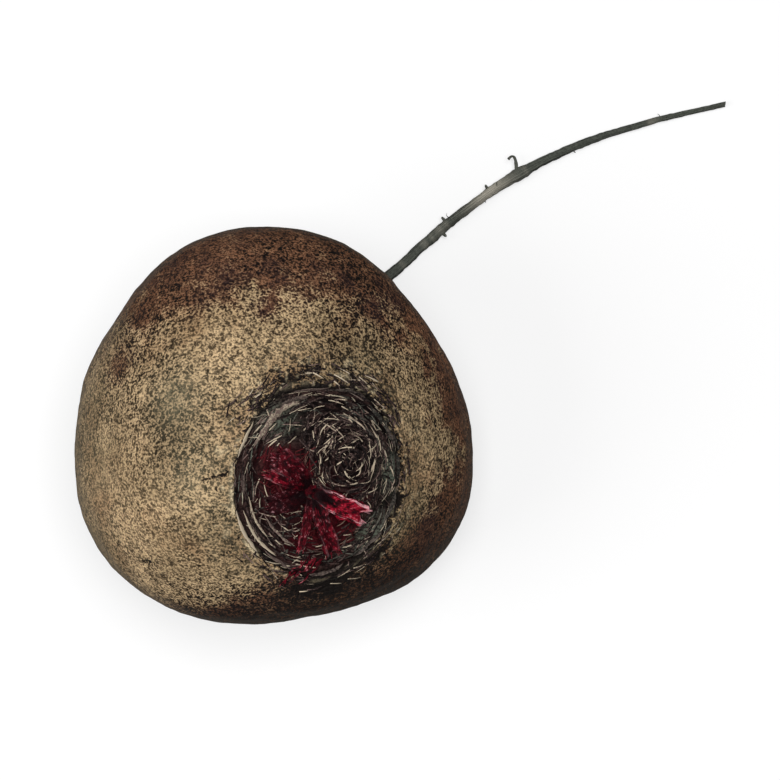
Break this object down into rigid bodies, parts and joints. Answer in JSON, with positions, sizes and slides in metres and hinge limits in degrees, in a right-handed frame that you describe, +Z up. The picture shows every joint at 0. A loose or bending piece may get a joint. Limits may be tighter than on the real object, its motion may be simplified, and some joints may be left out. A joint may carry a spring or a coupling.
{
  "type": "beetroot",
  "caption": "Round lopsided beetroot lying on its side, with a thin curved tap root, fine rootlets and broken leaf stalks on a dry scarred crown.",
  "frame": {"origin": "middle of the small flat spot under the root that it rests on", "axes": "+Z up from the surface it lies on; the thin tap root runs away along the surface towards +X and +Y, and the crown leans towards +X and -Y"},
  "size_m": [0.1218, 0.1005, 0.067],
  "materials": {
    "skin": "dull brown root skin with fine dark speckle and dark patches",
    "dry_fibre": "dry, matt, dark brown fibre",
    "crimson_stalk": "satin crimson, dark where it has dried"
  },
  "bodies": {
    "root": {"root": "skin", "crown_collar": "dry_fibre", "leaf_stalk_stubs": "crimson_stalk"}
  },
  "joints": []
}
